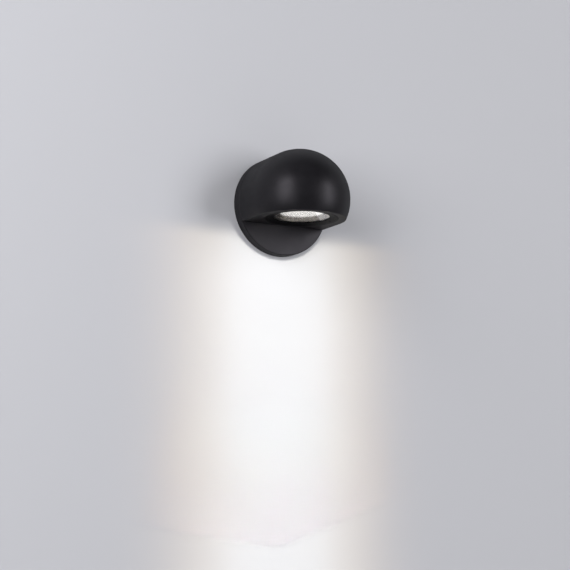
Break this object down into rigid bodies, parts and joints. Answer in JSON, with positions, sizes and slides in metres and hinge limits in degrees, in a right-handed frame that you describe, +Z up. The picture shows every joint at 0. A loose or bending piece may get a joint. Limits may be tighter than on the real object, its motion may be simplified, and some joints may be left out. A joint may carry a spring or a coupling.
{
  "type": "pivoting spotlight wall light",
  "caption": "Round wall light with a domed spotlight head that swivels on a disc base of the same diameter and shines through a glass in its flat underside.",
  "frame": {"origin": "centre of the round base's back, on the plane of the wall", "axes": "+Y into the wall, -Y out into the room along the swivel's axis, +Z up, +X to the right of someone who faces the wall; at rest the beam points along -Z"},
  "size_m": [0.11, 0.103, 0.11],
  "materials": {
    "black_coat": "satin matt powder coat",
    "zinc_steel": "zinc plated",
    "spring_steel": "plain",
    "screw_steel": "plated",
    "black_screw": "black oxide",
    "brass": "bright",
    "block_plastic": "moulded",
    "nylon": "moulded",
    "foam": "closed cell",
    "rubber": "matt",
    "silicone": "milky",
    "ceramic": "unglazed",
    "lamp_shell": "moulded",
    "lamp_face": "lit diffuser",
    "bright_aluminium": "satin hammered",
    "clear_glass": "clear",
    "brown_lead": "silicone sleeve",
    "blue_lead": "silicone sleeve",
    "earth_lead": "silicone sleeve"
  },
  "bodies": {
    "base": {"wall_plate": "zinc_steel", "wall_base": "black_coat", "base_gasket": "foam", "base_grub_screws": "black_screw", "cable_grommet": "rubber", "terminal_block": "block_plastic", "terminal_sleeves": "brass", "terminal_screws": "screw_steel", "terminal_fixing_screws": "screw_steel", "earth_tag": "brass", "earth_screw": "screw_steel", "pivot_nipple": "zinc_steel", "disc_spring": "spring_steel", "thrust_washer": "zinc_steel", "lock_nut": "zinc_steel", "base_live_lead": "brown_lead", "base_neutral_lead": "blue_lead", "base_earth_lead": "earth_lead"},
    "head": {"back_plate_screws": "screw_steel", "bezel_ring": "black_coat", "bezel_seal": "rubber", "bracket_screws": "screw_steel", "friction_washer": "nylon", "glass": "clear_glass", "glass_gasket": "silicone", "head_back_plate": "black_coat", "head_earth_lead": "earth_lead", "head_earth_screw": "screw_steel", "head_earth_tag": "brass", "head_live_lead": "brown_lead", "head_neutral_lead": "blue_lead", "head_shell": "black_coat", "holder_bracket": "zinc_steel", "lamp_body": "lamp_shell", "lamp_lens": "lamp_face", "lamp_pins": "brass", "lampholder": "ceramic", "lampholder_screws": "screw_steel", "pivot_bush": "nylon", "reflector_ring": "bright_aluminium", "stop_pin": "spring_steel"}
  },
  "joints": [
    {"name": "head_swivel", "type": "hinge", "parent": "base", "child": "head", "pos_m": [0, 0, 0], "axis": [0, -1, 0], "range_deg": [-165, 165]}
  ]
}
